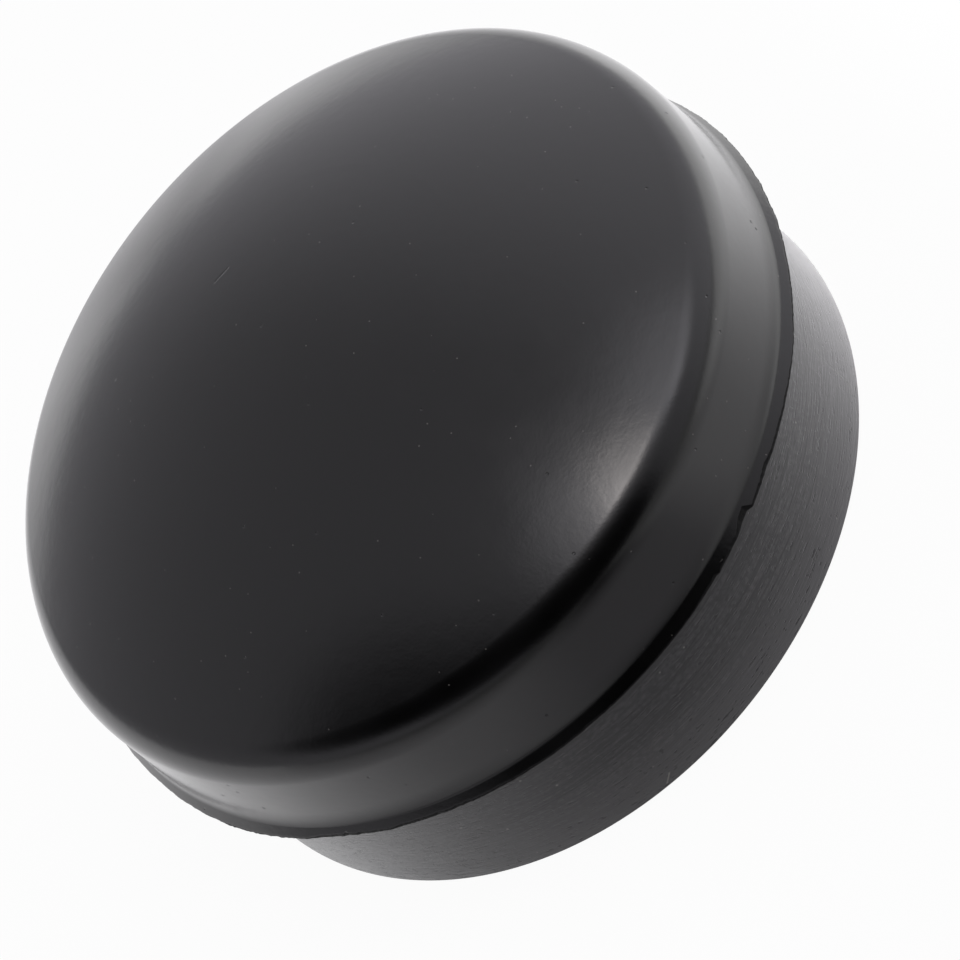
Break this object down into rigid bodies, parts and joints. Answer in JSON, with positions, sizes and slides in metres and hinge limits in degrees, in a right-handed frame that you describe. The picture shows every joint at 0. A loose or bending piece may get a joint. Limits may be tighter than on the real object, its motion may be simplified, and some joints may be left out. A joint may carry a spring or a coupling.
{
  "type": "wiper nut cover cap",
  "caption": "Round domed rubber cap with a sealing lip and a hollow skirt, pressed over the nut of a wiper arm.",
  "frame": {"origin": "centre of the skirt's open rim, on the plane that the rim rests on", "axes": "+Z along the axis, from the open rim towards the top of the dome; X and Y are free, the cap is round"},
  "size_m": [0.022, 0.022, 0.0114],
  "materials": {
    "rubber": "moulded satin black, matt tool marks on the skirt"
  },
  "bodies": {
    "root": {"cover_cap": "rubber"}
  },
  "joints": []
}
